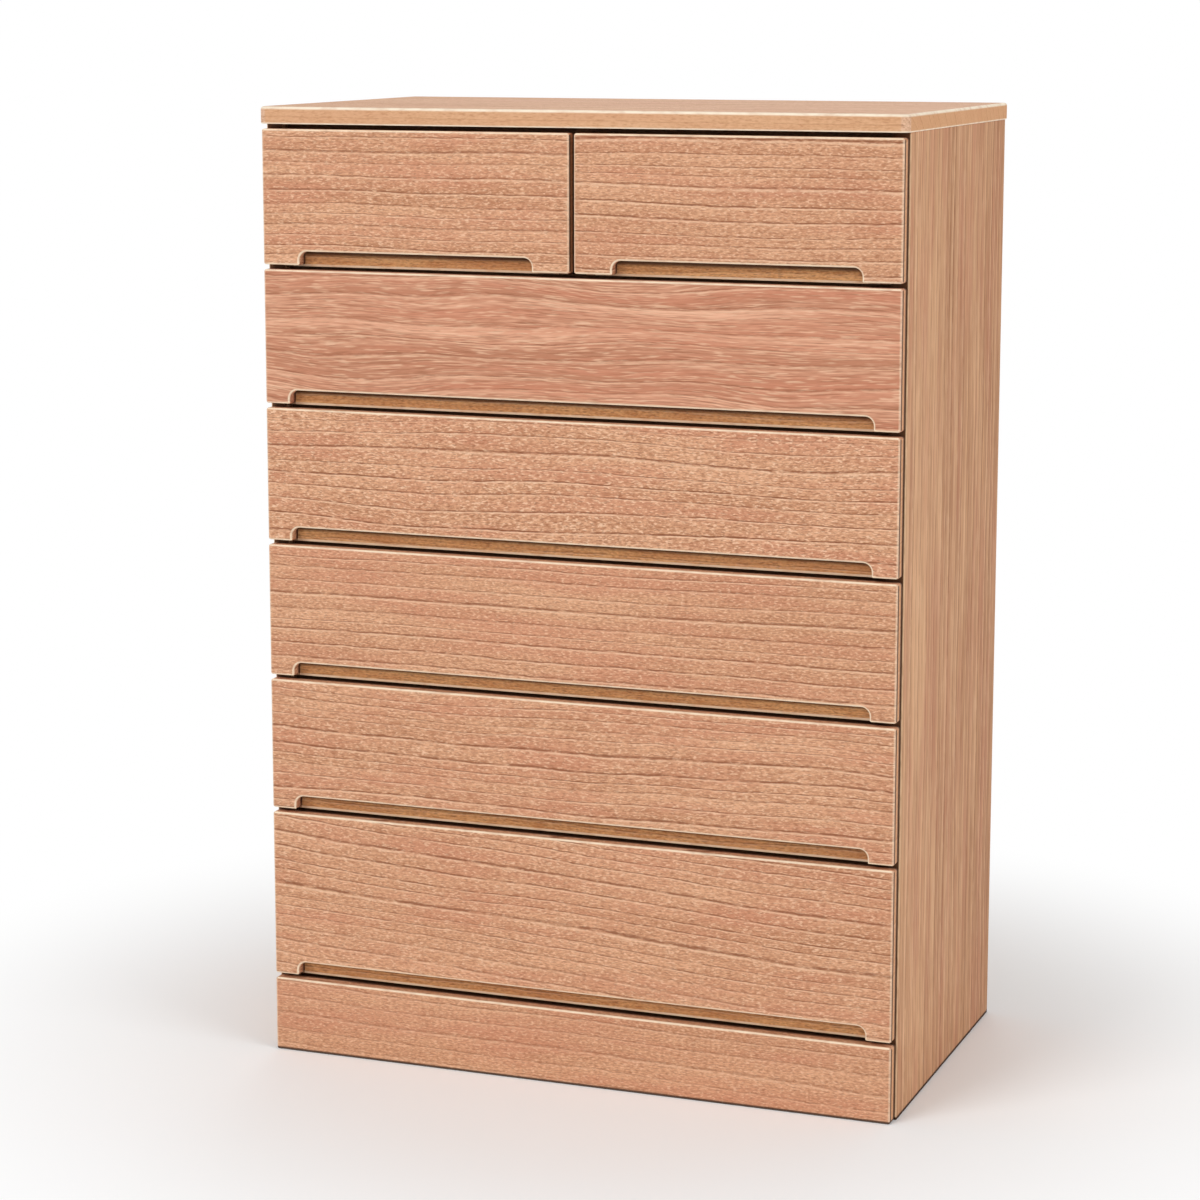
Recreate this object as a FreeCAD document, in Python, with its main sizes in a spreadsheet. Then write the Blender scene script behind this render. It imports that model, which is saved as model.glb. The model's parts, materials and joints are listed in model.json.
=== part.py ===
import FreeCAD, Part
import os
import re
from collections import namedtuple

import Sketcher

# Clothing chest with seven drawers on wooden runners, in millimetres.
# The origin is on the floor below the middle of the chest. +X is to the right seen from the
# front, +Y is to the back and +Z is up. Row 1 is the top row, which two half-width drawers share.

SIZES = {
    # Whole chest, over the top board
    "chest_width": 700,
    "chest_depth": 400,
    "chest_height": 1020,
    # Top board
    "top_thickness": 18,
    "top_overhang": 2,
    "top_corner_radius": 10,
    "top_upper_round": 3,
    "top_lower_round": 1.5,
    # Side panels and back panel
    "side_thickness": 18,
    "side_round": 1.5,
    "back_thickness": 6,
    "back_lap": 8,
    "back_floor_gap": 12,
    # Plinth boards and bottom board
    "plinth_height": 81,
    "plinth_rear_thickness": 18,
    "bottom_thickness": 14,
    # Front rails, housed in the side panels, and runner strips behind them. The rails, the
    # partition and the bottom board stand back from the side panels' front edges, which keeps
    # the gaps between the fronts dark.
    "frame_setback": 14,
    "rail_height": 14,
    "rail_depth": 40,
    "housing_depth": 6,
    "runner_width": 16,
    "partition_thickness": 18,
    # Drawer fronts, laid over the edges of the carcass
    "front_thickness": 16,
    "front_gap": 5,
    "front_side_reveal": 2,
    "closing_gap": 0.5,
    "deep_front_height": 180,
    "front_corner_round": 2.5,
    "front_round": 2,
    # Finger pull in the lower edge of each drawer front
    "pull_height": 14.5,
    "pull_corner_radius": 9,
    "pull_inset_full": 27.5,
    "pull_inset_half": 41,
    "groove_height": 12,
    "groove_depth": 8,
    # Drawer boxes
    "box_front_thickness": 12,
    "box_side_thickness": 10,
    "box_back_thickness": 10,
    "box_bottom_thickness": 5,
    "box_bottom_rise": 6,
    "box_groove_depth": 4,
    "box_drop": 2.5,
    "box_rear_space": 8,
    "run_clearance": 0.3,
    "side_clearance": 1,
    "head_clearance": 2,
    # Countersunk screws that hold the back panel
    "screw_length": 24,
    "screw_radius": 1.75,
    "screw_head_radius": 3.5,
    "screw_head_height": 2.2,
    "screw_slack": 0.2,
    "screw_end_distance": 45,
    # How far a cutting shape runs past the face that it opens
    "overrun": 5,
}

# Rows of shallow drawers above the deep one, fingers in each corner joint, screws up each side
SHALLOW_ROWS = 5
FINGERS = 5
SCREWS_PER_SIDE = 8

# Lengths that follow from the sizes
DERIVED = {
    "carcass_width": "chest_width - 2 * top_overhang",
    "inner_width": "carcass_width - 2 * side_thickness",
    "carcass_height": "chest_height - top_thickness",
    "front_face": "-chest_depth / 2",
    "front_back": "front_face + front_thickness",
    "carcass_front": "front_back + closing_gap",
    "carcass_back": "chest_depth / 2",
    "inner_back": "carcass_back - back_thickness",
    "panel_depth": "carcass_back - carcass_front",
    "inner_depth": "inner_back - carcass_front",
    "frame_front": "carcass_front + frame_setback",
    "frame_depth": "inner_back - frame_front",
    "plinth_front_thickness": "front_thickness + closing_gap",
    "full_front_width": "carcass_width - 2 * front_side_reveal",
    "half_front_width": "(full_front_width - front_gap) / 2",
    "shallow_front_height": (
        "(carcass_height - plinth_height - deep_front_height"
        f" - {SHALLOW_ROWS + 2} * front_gap) / {SHALLOW_ROWS}"
    ),
    "row_pitch": "shallow_front_height + front_gap",
    "deep_front_low": "plinth_height + front_gap",
    "bottom_low": "deep_front_low - box_drop - bottom_thickness",
    "bay_width": "(inner_width - partition_thickness) / 2",
    "full_box_width": "inner_width - 2 * side_clearance",
    "half_box_width": "bay_width - 2 * side_clearance",
    "box_play": "rail_height + run_clearance + head_clearance",
    "box_length": "inner_back - box_rear_space - front_back",
    "runner_front": "frame_front + rail_depth",
    "runner_length": "inner_back - runner_front",
    "rail_length": "inner_width + 2 * housing_depth",
    "centre_runner_width": "partition_thickness + 2 * runner_width",
    "back_width": "inner_width + 2 * back_lap",
    "back_height": "carcass_height - back_floor_gap",
    "screw_column": "inner_width / 2 + back_lap / 2",
    "screw_span": "back_height - 2 * screw_end_distance",
}

# Two coordinates nearer than this count as one when edges are looked up
SAME_PLACE = 0.001

Drawer = namedtuple("Drawer", "name left low width height inset box_left box_width")


def link(formula):
    """Turn a formula in plain size names into one that reads them from the sheet."""
    def expand(match):
        word = match.group()
        if word in SIZES:
            return f"sizes.{word}"
        if word in DERIVED:
            return f"({link(DERIVED[word])})"
        return word
    return re.sub(r"[a-z_]+", expand, formula)


def row_low(row):
    """Height of the lower edge of the fronts in one shallow row."""
    return f"carcass_height - {row} * row_pitch"


def add_sheet(doc):
    """Write every size into the sheet under its own name."""
    sheet = doc.addObject("Spreadsheet::Sheet", "sizes")
    for line, (name, value) in enumerate(SIZES.items(), 1):
        sheet.set(f"A{line}", name)
        sheet.set(f"B{line}", str(value))
        sheet.setAlias(f"B{line}", name)
    doc.recompute()


def place(item, x, y, z):
    """Bind an object's place to three formulas."""
    for axis, formula in zip("xyz", (x, y, z)):
        item.setExpression(f"Placement.Base.{axis}", link(formula))
    return item


def block(doc, name, size, corner):
    """Add a rectangular block from its three lengths and its lowest corner."""
    item = doc.addObject("Part::Box", name)
    for side, formula in zip(("Length", "Width", "Height"), size):
        item.setExpression(side, link(formula))
    return place(item, *corner)


def group(doc, name, items):
    """Keep like pieces together as one group of separate solids."""
    item = doc.addObject("Part::Compound", name)
    item.Links = items
    return item


def cut_from(doc, name, base, tools):
    """Take a set of shapes away from a base."""
    joined = doc.addObject("Part::MultiFuse", f"{name}_cuts")
    joined.Shapes = tools
    item = doc.addObject("Part::Cut", name)
    item.Base = base
    item.Tool = joined
    return item


def add_sketch(body, role, name, offset="0"):
    """Start a sketch parallel to one of the body's own origin planes."""
    plane = next(item for item in body.Origin.OriginFeatures if item.Role == role)
    sketch = body.newObject("Sketcher::SketchObject", name)
    sketch.AttachmentSupport = [(plane, "")]
    sketch.MapMode = "FlatFace"
    sketch.setExpression("AttachmentOffset.Base.z", link(offset))
    return sketch


def rectangle(sketch, tag, left, low, width, height):
    """Draw a unit square and let four bound dimensions place and size it."""
    corners = [FreeCAD.Vector(x, y, 0) for x, y in ((0, 0), (1, 0), (1, 1), (0, 1))]
    first = sketch.GeometryCount
    for start, end in zip(corners, corners[1:] + corners[:1]):
        sketch.addGeometry(Part.LineSegment(start, end), False)
    bottom, right, top, far = sides = list(range(first, first + 4))
    for side, following in zip(sides, sides[1:] + sides[:1]):
        sketch.addConstraint(Sketcher.Constraint("Coincident", side, 2, following, 1))
    for kind, pair in (("Horizontal", (bottom, top)), ("Vertical", (right, far))):
        for side in pair:
            sketch.addConstraint(Sketcher.Constraint(kind, side))
    dimensions = (
        ("left", left, Sketcher.Constraint("DistanceX", -1, 1, bottom, 1, 0)),
        ("low", low, Sketcher.Constraint("DistanceY", -1, 1, bottom, 1, 0)),
        ("width", width, Sketcher.Constraint("DistanceX", bottom, 1, bottom, 2, 1)),
        ("height", height, Sketcher.Constraint("DistanceY", right, 1, right, 2, 1)),
    )
    for word, formula, constraint in dimensions:
        index = sketch.addConstraint(constraint)
        sketch.renameConstraint(index, f"{tag}_{word}")
        sketch.setExpression(f"Constraints.{tag}_{word}", link(formula))


def extrude(kind, body, sketch, name, length, backwards=False):
    """Pad or pocket a sketch by a bound length, and make sure that it changed the piece."""
    before = 0 if body.Shape.isNull() else body.Shape.Volume
    item = body.newObject(f"PartDesign::{kind}", name)
    item.Profile = sketch
    item.setExpression("Length", link(length))
    item.Reversed = backwards
    body.Document.recompute()
    if body.Shape.Volume == before:
        raise RuntimeError(f"{name} changes nothing")


def round_edges(body, name, radius, wanted):
    """Fillet those edges of the body that a test picks out."""
    base = body.Tip
    edges = [f"Edge{number}" for number, edge in enumerate(base.Shape.Edges, 1) if wanted(edge)]
    item = body.newObject("PartDesign::Fillet", name)
    item.Base = (base, edges)
    item.setExpression("Radius", link(radius))
    body.Document.recompute()


def lies_at(edge, low_limit, high_limit, value):
    """Tell whether an edge's box is flat at one value along one axis."""
    box = edge.BoundBox
    return abs(getattr(box, low_limit) - value) + abs(getattr(box, high_limit) - value) < SAME_PLACE


def runs_along(edge, axis):
    """Tell whether an edge is straight along one axis."""
    box = edge.BoundBox
    return sum(getattr(box, f"{name}Length") for name in "XYZ" if name != axis) < SAME_PLACE


def add_front_board(doc, name, width, height, thickness):
    """Pad a board in the plane of the drawer fronts. Its back is at y = 0 in its own frame."""
    body = doc.addObject("PartDesign::Body", name)
    outline = add_sketch(body, "XZ_Plane", f"{name}_outline")
    rectangle(outline, "board", "0", "0", width, height)
    extrude("Pad", body, outline, f"{name}_board", thickness)
    limits = body.Shape.BoundBox
    round_edges(body, f"{name}_corners", "front_corner_round", lambda edge: runs_along(edge, "Y"))
    return body, limits


def round_front(body, name):
    """Round the arris all round the front face."""
    face = body.Shape.BoundBox.YMin
    round_edges(body, f"{name}_arris", "front_round", lambda edge: lies_at(edge, "YMin", "YMax", face))


def add_drawer_front(doc, drawer):
    """Make a drawer front with its finger pull and the groove behind the pull's lip."""
    name = f"{drawer.name}_front"
    body, limits = add_front_board(doc, name, drawer.width, drawer.height, "front_thickness")
    pull_width = f"{drawer.width} - 2 * {drawer.inset}"
    pull = add_sketch(body, "XZ_Plane", f"{name}_pull_outline")
    rectangle(pull, "pull", drawer.inset, "-overrun", pull_width, "pull_height + overrun")
    extrude("Pocket", body, pull, f"{name}_pull", "front_thickness + overrun", backwards=True)

    def is_pull_corner(edge):
        """Tell the notch's two upper corners from the board's own corners."""
        centre = edge.BoundBox.Center
        reach = limits.XLength / 2 - SIZES["front_corner_round"]
        inside = abs(centre.x - limits.Center.x) < reach - SAME_PLACE
        return runs_along(edge, "Y") and inside and centre.z > SAME_PLACE

    round_edges(body, f"{name}_pull_corners", "pull_corner_radius", is_pull_corner)
    groove = add_sketch(body, "XZ_Plane", f"{name}_groove_outline")
    rectangle(groove, "groove", drawer.inset, "-overrun", pull_width,
              "pull_height + groove_height + overrun")
    extrude("Pocket", body, groove, f"{name}_groove", "groove_depth", backwards=True)
    round_front(body, name)
    return place(body, drawer.left, "front_back", drawer.low)


def finger_cuts(doc, name, first, height, corner, size):
    """Blocks that clear every second finger of one corner joint, from the first, counted from 0."""
    finger = f"{height} / {FINGERS}"
    return [
        block(doc, f"{name}_{step}", (*size, finger), (*corner, f"{step} * {finger}"))
        for step in range(first, FINGERS, 2)
    ]


def add_drawer_box(doc, drawer):
    """Make the four walls and the bottom of a drawer's box. Its frame is its lower front left corner."""
    width = drawer.box_width
    height = f"({drawer.height} + front_gap - box_play)"
    across = f"({width} - 2 * box_side_thickness + 2 * box_groove_depth)"
    along = "(box_length - box_front_thickness - box_back_thickness + 2 * box_groove_depth)"
    bottom_size = (across, along, "box_bottom_thickness")
    bottom_corner = (
        "box_side_thickness - box_groove_depth",
        "box_front_thickness - box_groove_depth",
        "box_bottom_rise",
    )
    back_at = "box_length - box_back_thickness"
    ends = (("front", "0", "box_front_thickness"), ("back", back_at, "box_back_thickness"))
    hands = (("left", "0"), ("right", f"{width} - box_side_thickness"))
    boards = []
    for hand, x in hands:
        size = ("box_side_thickness", "box_length", height)
        joints = [(end, x, y, depth, 1) for end, y, depth in ends]
        boards.append((f"side_{hand}", size, (x, "0", "0"), joints))
    for end, y, depth in ends:
        joints = [(hand, x, y, depth, 0) for hand, x in hands]
        boards.append((f"box_{end}", (width, depth, height), ("0", y, "0"), joints))

    place_of_box = (drawer.box_left, "front_back", f"{drawer.low} - box_drop + run_clearance")
    pieces = []
    for word, size, corner, joints in boards:
        name = f"{drawer.name}_{word}"
        board = block(doc, f"{name}_board", size, corner)
        cuts = [block(doc, f"{name}_groove", bottom_size, bottom_corner)]
        for far_word, x, y, depth, first in joints:
            cuts += finger_cuts(doc, f"{name}_{far_word}", first, height, (x, y),
                                ("box_side_thickness", depth))
        pieces.append(cut_from(doc, name, board, cuts))
    for piece in pieces:
        place(piece, *place_of_box)
    corner = [f"{start} + {step}" for start, step in zip(place_of_box, bottom_corner)]
    pieces.append(block(doc, f"{drawer.name}_bottom", bottom_size, corner))
    return pieces


def list_drawers():
    """Name, place and size of every drawer: two side by side in row 1, then one to a row."""
    full_left = "-full_front_width / 2"
    full_box_left = "-full_box_width / 2"
    top_low = row_low(1)
    drawers = [
        Drawer("drawer_1_left", full_left, top_low, "half_front_width", "shallow_front_height",
               "pull_inset_half", "-inner_width / 2 + side_clearance", "half_box_width"),
        Drawer("drawer_1_right", "front_gap / 2", top_low, "half_front_width", "shallow_front_height",
               "pull_inset_half", "partition_thickness / 2 + side_clearance", "half_box_width"),
    ]
    for row in range(2, SHALLOW_ROWS + 1):
        drawers.append(Drawer(f"drawer_{row}", full_left, row_low(row), "full_front_width",
                              "shallow_front_height", "pull_inset_full", full_box_left, "full_box_width"))
    drawers.append(Drawer(f"drawer_{SHALLOW_ROWS + 1}", full_left, "deep_front_low", "full_front_width",
                          "deep_front_height", "pull_inset_full", full_box_left, "full_box_width"))
    return drawers


def rail_heights():
    """Lower face of the top rail and of the rail under each shallow row."""
    heights = {"rail_top": "carcass_height - rail_height"}
    for row in range(1, SHALLOW_ROWS + 1):
        heights[f"rail_{row}"] = f"{row_low(row)} - box_drop - rail_height"
    return heights


def screw_solid(doc, name, x, z, slack):
    """Make one countersunk screw, or with slack the hole for it, driven forward from the back face."""
    turned = FreeCAD.Placement(FreeCAD.Vector(), FreeCAD.Rotation(FreeCAD.Vector(1, 0, 0), 90))
    shank = doc.addObject("Part::Cylinder", f"{name}_shank")
    shank.setExpression("Radius", link(f"screw_radius + {slack}"))
    shank.setExpression("Height", link(f"screw_length + {slack}"))
    head = doc.addObject("Part::Cone", f"{name}_head")
    head.setExpression("Radius1", link(f"screw_head_radius + {slack}"))
    head.setExpression("Radius2", link(f"screw_radius + {slack}"))
    head.setExpression("Height", link("screw_head_height"))
    for item in (shank, head):
        item.Placement = turned
        place(item, x, "carcass_back", z)
    whole = doc.addObject("Part::Fuse", name)
    whole.Base = shank
    whole.Tool = head
    return whole


def add_screws(doc, hand, sign, slack="0"):
    """Make the column of screws, or of their holes, up one side of the back panel."""
    word = "screw" if slack == "0" else "hole"
    return [
        screw_solid(
            doc,
            f"{word}_{hand}_{step}",
            f"{sign} * screw_column",
            f"back_floor_gap + screw_end_distance + {step} * screw_span / {SCREWS_PER_SIDE - 1}",
            slack,
        )
        for step in range(SCREWS_PER_SIDE)
    ]


def add_side_panel(doc, hand, sign, holes):
    """Make a side panel with housings for the rails and the bottom board, and a lap for the back."""
    name = f"side_panel_{hand}"
    body = doc.addObject("PartDesign::Body", f"{name}_board")
    on_right = sign > 0
    outline = add_sketch(body, "YZ_Plane", f"{name}_outline")
    rectangle(outline, "panel", "0", "0", "panel_depth", "carcass_height")
    extrude("Pad", body, outline, f"{name}_pad", "side_thickness", backwards=on_right)
    inner_face = f"{-sign} * side_thickness"
    lap = add_sketch(body, "YZ_Plane", f"{name}_lap_outline", inner_face)
    rectangle(lap, "lap", "inner_depth", "-overrun", "back_thickness + overrun",
              "carcass_height + 2 * overrun")
    extrude("Pocket", body, lap, f"{name}_lap", "back_lap", backwards=on_right)
    housings = add_sketch(body, "YZ_Plane", f"{name}_housing_outline", inner_face)
    for tag, low in rail_heights().items():
        height = "rail_height + overrun" if tag == "rail_top" else "rail_height"
        rectangle(housings, tag, "frame_setback", low, "rail_depth", height)
    rectangle(housings, "bottom", "frame_setback", "bottom_low", "frame_depth + overrun",
              "bottom_thickness")
    extrude("Pocket", body, housings, f"{name}_housings", "housing_depth", backwards=on_right)

    def is_front_corner(edge):
        """Tell the edge where the panel's front meets its outer face."""
        centre = edge.BoundBox.Center
        return runs_along(edge, "Z") and abs(centre.x) < SAME_PLACE and centre.y < SAME_PLACE

    round_edges(body, f"{name}_arris", "side_round", is_front_corner)
    place(body, f"{sign} * carcass_width / 2", "carcass_front", "0")
    return cut_from(doc, name, body, holes)


def add_top_board(doc):
    """Make the top board with round front corners and softened edges."""
    body = doc.addObject("PartDesign::Body", "top_board")
    outline = add_sketch(body, "XY_Plane", "top_outline")
    rectangle(outline, "top", "0", "0", "chest_width", "chest_depth")
    extrude("Pad", body, outline, "top_pad", "top_thickness")
    whole = body.Shape.BoundBox
    round_edges(body, "top_corners", "top_corner_radius",
                lambda edge: runs_along(edge, "Z") and edge.BoundBox.Center.y < whole.Center.y)
    for name, radius, height in (
        ("top_upper_edges", "top_upper_round", whole.ZMax),
        ("top_lower_edges", "top_lower_round", whole.ZMin),
    ):
        round_edges(
            body,
            name,
            radius,
            lambda edge: lies_at(edge, "ZMin", "ZMax", height)
            and not lies_at(edge, "YMin", "YMax", whole.YMax),
        )
    return place(body, "-chest_width / 2", "front_face", "carcass_height")


def add_carcass(doc):
    """Make every fixed piece of the chest."""
    holes = {}
    screws = []
    pieces = []
    for hand, sign in (("left", -1), ("right", 1)):
        screws += add_screws(doc, hand, sign)
        holes[hand] = add_screws(doc, hand, sign, "screw_slack")
        pieces.append(add_side_panel(doc, hand, sign, holes[hand]))
    back = block(doc, "back_panel_board", ("back_width", "back_thickness", "back_height"),
                 ("-back_width / 2", "inner_back", "back_floor_gap"))
    pieces.append(cut_from(doc, "back_panel", back, holes["left"] + holes["right"]))
    pieces.append(group(doc, "back_panel_screws", screws))
    pieces.append(add_top_board(doc))
    pieces.append(block(doc, "bottom_board", ("rail_length", "frame_depth", "bottom_thickness"),
                        ("-rail_length / 2", "frame_front", "bottom_low")))
    plinth, _ = add_front_board(doc, "plinth_front", "full_front_width", "plinth_height",
                                "plinth_front_thickness")
    round_front(plinth, "plinth_front")
    pieces.append(place(plinth, "-full_front_width / 2", "carcass_front", "0"))
    pieces.append(block(doc, "plinth_rear", ("inner_width", "plinth_rear_thickness", "bottom_low"),
                        ("-inner_width / 2", "inner_back - plinth_rear_thickness", "0")))
    rails = rail_heights()
    for name, low in rails.items():
        pieces.append(block(doc, name, ("rail_length", "rail_depth", "rail_height"),
                            ("-rail_length / 2", "frame_front", low)))
    for hand, left in (("left", "-inner_width / 2"), ("right", "inner_width / 2 - runner_width")):
        strips = [
            block(doc, f"runner_{hand}_{step}", ("runner_width", "runner_length", "rail_height"),
                  (left, "runner_front", low))
            for step, low in enumerate(rails.values())
        ]
        pieces.append(group(doc, f"runners_{hand}", strips))
    pieces.append(block(doc, "centre_partition",
                        ("partition_thickness", "frame_depth", "row_pitch + box_drop - rail_height"),
                        ("-partition_thickness / 2", "frame_front", f"{row_low(1)} - box_drop")))
    strips = [
        block(doc, f"centre_runner_{name}", ("centre_runner_width", "runner_length", "rail_height"),
              ("-centre_runner_width / 2", "runner_front", rails[name]))
        for name in ("rail_top", "rail_1")
    ]
    pieces.append(group(doc, "centre_runners", strips))
    return pieces


def write_parts(doc, pieces):
    """Check every object, then write each piece to a file of its own name."""
    doc.recompute()
    for item in doc.Objects:
        if "Invalid" in item.State or "Error" in item.State:
            raise RuntimeError(f"{item.Label} failed")
    for piece in pieces:
        if piece.Shape.isNull() or not piece.Shape.isValid():
            raise RuntimeError(f"{piece.Label} has no sound shape")
    os.makedirs("parts", exist_ok=True)
    for piece in pieces:
        piece.Shape.exportStep(f"parts/{piece.Label}.step")
        box = piece.Shape.BoundBox
        print(f"{piece.Label}: {len(piece.Shape.Solids)} solid(s), {piece.Shape.Volume:.0f} mm3, "
              f"x {box.XMin:.1f} to {box.XMax:.1f}, y {box.YMin:.1f} to {box.YMax:.1f}, "
              f"z {box.ZMin:.1f} to {box.ZMax:.1f}")


def main():
    """Build the chest and write its pieces."""
    doc = FreeCAD.newDocument("clothing_chest")
    add_sheet(doc)
    pieces = add_carcass(doc)
    for drawer in list_drawers():
        pieces.append(add_drawer_front(doc, drawer))
        pieces += add_drawer_box(doc, drawer)
    write_parts(doc, pieces)


main()
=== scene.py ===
"""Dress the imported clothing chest: paulownia boards with eased edges, screws, studio and camera.

All lengths are metres in the chest's own frame: the origin on the floor under the middle of the
chest, +X to the right seen from the front, +Y to the back and +Z up.
"""

import json
import logging
import math
from collections.abc import Sequence
from dataclasses import dataclass, replace
from enum import Enum

import bmesh
import bpy
import numpy as np
from mathutils import Euler, Matrix, Vector


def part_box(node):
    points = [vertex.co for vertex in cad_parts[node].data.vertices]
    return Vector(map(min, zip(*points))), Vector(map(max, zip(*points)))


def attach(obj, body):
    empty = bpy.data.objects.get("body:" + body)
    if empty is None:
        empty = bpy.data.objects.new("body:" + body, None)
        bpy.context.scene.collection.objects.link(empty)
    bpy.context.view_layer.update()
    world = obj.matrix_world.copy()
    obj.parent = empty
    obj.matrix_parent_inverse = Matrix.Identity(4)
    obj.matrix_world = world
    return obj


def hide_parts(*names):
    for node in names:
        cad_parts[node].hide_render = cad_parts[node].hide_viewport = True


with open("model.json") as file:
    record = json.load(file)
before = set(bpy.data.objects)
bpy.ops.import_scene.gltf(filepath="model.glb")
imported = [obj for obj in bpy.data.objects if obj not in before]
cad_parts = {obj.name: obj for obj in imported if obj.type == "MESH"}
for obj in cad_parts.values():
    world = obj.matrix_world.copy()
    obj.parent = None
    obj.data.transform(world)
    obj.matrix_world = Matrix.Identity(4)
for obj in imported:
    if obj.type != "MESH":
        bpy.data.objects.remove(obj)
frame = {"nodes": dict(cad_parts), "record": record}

LOG = logging.getLogger("clothing_chest")
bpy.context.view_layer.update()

MM = 0.001
QUARTER_TURN = math.pi / 2
MERGE_DISTANCE = 1e-6
SMOOTH_BELOW = math.radians(40)
FLAT_BELOW = math.radians(1)
SHORTEST_EASED = 4
SQUARE_FROM = 0.999
LEAST_RADIUS = 0.05 * MM
ARRIS = "arris"
# Painted shade colours: the first darkens a box front under the pull's lip, the second the gaps
# between pieces and the wood just above the floor.
LIP_SHADE = (62, 28, 13)
PAINTED_SHADE = (48, 18, 7)
WHITE = (1.0, 1.0, 1.0, 1.0)
NOISE_GAIN = 3.0
LOG_WAY = (0.73, 1.13, 0.41)
SLOW_RINGS = 2.7
RING_DRIFT = 2.2

Array = np.ndarray
Mesh = bpy.types.Mesh
Node = bpy.types.Node
Socket = bpy.types.NodeSocket
Tree = bpy.types.NodeTree
Triple = tuple[float, float, float]
Value = float | Sequence[float] | Socket


def linear(colour: Triple) -> tuple[float, float, float, float]:
    """Turn an sRGB colour written from 0 to 255 into the linear colour that Blender stores.

    Args:
        colour: red, green and blue, from 0 to 255.

    Returns:
        The linear colour with an alpha of 1.
    """
    share = np.array(colour) / 255
    low = share / 12.92
    high = ((share + 0.055) / 1.055) ** 2.4
    return (*np.where(share <= 0.04045, low, high).tolist(), 1.0)


@dataclass(frozen=True)
class Box:
    """The room that a CAD node takes up."""

    low: Vector
    high: Vector

    @classmethod
    def of(cls, node: str) -> "Box":
        """Read the box of a CAD node at rest."""
        return cls(*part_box(node))

    @property
    def centre(self) -> Vector:
        """The middle of the box."""
        return (self.low + self.high) / 2

    @property
    def size(self) -> Vector:
        """The three lengths of the box."""
        return self.high - self.low


class Lie(Enum):
    """How a board lies in the chest: the directions of its grain, its width and its thickness."""

    ACROSS_FRONT = ((1, 0, 0), (0, 0, 1), (0, -1, 0))
    FLAT = ((1, 0, 0), (0, 1, 0), (0, 0, 1))
    UPRIGHT_SIDE = ((0, 0, 1), (0, 1, 0), (-1, 0, 0))
    UPRIGHT_BACK = ((0, 0, 1), (1, 0, 0), (0, 1, 0))
    FRONT_TO_BACK = ((0, 1, 0), (0, 0, 1), (1, 0, 0))

    def turn(self) -> Euler:
        """The turn from a board laid along X, Y and Z to the board as it lies in the chest."""
        return Matrix(self.value).transposed().to_euler()


@dataclass(frozen=True)
class Cut:
    """How one board was sawn from its log, in the board's own directions.

    The rings are circles round the pith, a line along the grain. pith is where that line passes
    the board's middle, across its width and through its thickness, and lean is how far it drifts
    per metre of board. tone darkens the whole board, and fade darkens it per metre across.
    """

    lie: Lie
    centre: Vector
    seed: float
    pith: tuple[float, float] = (0.55, 0.12)
    lean: tuple[float, float] = (0.0, 0.0)
    spacing: float = 13 * MM
    swing: float = 5 * MM
    ripple: float = 0.95 * MM
    line_width: float = 1.2 * MM
    half_length: float = 10.0
    half_width: float = 10.0
    half_depth: float = 10.0
    tone: float = 0.0
    fade: float = 0.0


@dataclass(frozen=True)
class KiriFinish:
    """The colours, relief and painted light and shade of one paulownia surface. Colours are sRGB
    from 0 to 255.
    """

    name: str
    pale: Triple = (230, 177, 140)
    warm: Triple = (189, 132, 97)
    red: Triple = (206, 136, 106)
    line: Triple = (138, 84, 56)
    pore: Triple = (156, 100, 70)
    fleck: Triple = (246, 206, 172)
    end: Triple = (172, 124, 90)
    cream: Triple = (255, 227, 194)
    ring_tone: float = 0.35
    lines: float = 0.78
    streaks: float = 1.4
    speckle: float = 2.0
    pores: float = 0.5
    flecks: float = 0.65
    patches: float = 0.75
    redness: float = 0.5
    # The strengths below paint highlights on the edges, and shade in the gaps, under a pull's lip
    # and just above the floor.
    edges: float = 0.8
    end_edges: float = 0.45
    rim: float = 0.0
    flank: float = 0.0
    foot_shade: float = 0.0
    seam: float = 0.0
    lip_shade: float = 0.0
    ends: float = 0.7
    light_lines: float = 0.7
    roughness: float = 0.58
    rough_streak: float = 0.16
    rough_line: float = 0.12
    gloss: float = 0.2
    relief: float = 0.22 * MM
    bump: float = 0.6
    fibre_stretch: Triple = (1.0, 1.0, 1.0)
    patch_stretch: Triple = (1.0, 1.0, 1.0)
    stave_width: float = 10.0
    stave_tone: float = 0.0


@dataclass(frozen=True)
class SteelFinish:
    """The colours and relief of the zinc-plated screws."""

    name: str = "screw_steel"
    bright: Triple = (186, 184, 178)
    dull: Triple = (132, 128, 120)
    roughness: float = 0.36
    rough_blotch: float = 0.18
    blotches: float = 900.0
    relief: float = 0.03 * MM
    bump: float = 0.4


# A painted highlight on the eased edges, and painted shade in the gaps at the back of each front.
FRONT_KIRI = KiriFinish(
    "front_kiri", end=(222, 163, 116), cream=(255, 234, 204), lines=0.85, edges=0.95, seam=0.9,
)
# The dark end colour paints shade on the front edge behind the drawer fronts (as flank) and on the
# sawn ends; the foot gets a painted contact shadow.
SIDE_KIRI = KiriFinish(
    "side_kiri", pale=(222, 174, 133), warm=(172, 121, 85), red=(190, 127, 98), end=(84, 52, 33),
    cream=(252, 214, 172), lines=0.5, ring_tone=0.4, streaks=1.5, speckle=0.7, pores=0.2,
    flecks=0.15, patches=1.0, redness=0.5, edges=0.6, flank=0.92, foot_shade=0.95, gloss=0.08,
    fibre_stretch=(8.0, 2.7, 2.7), stave_width=86 * MM, stave_tone=0.2,
)
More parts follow.
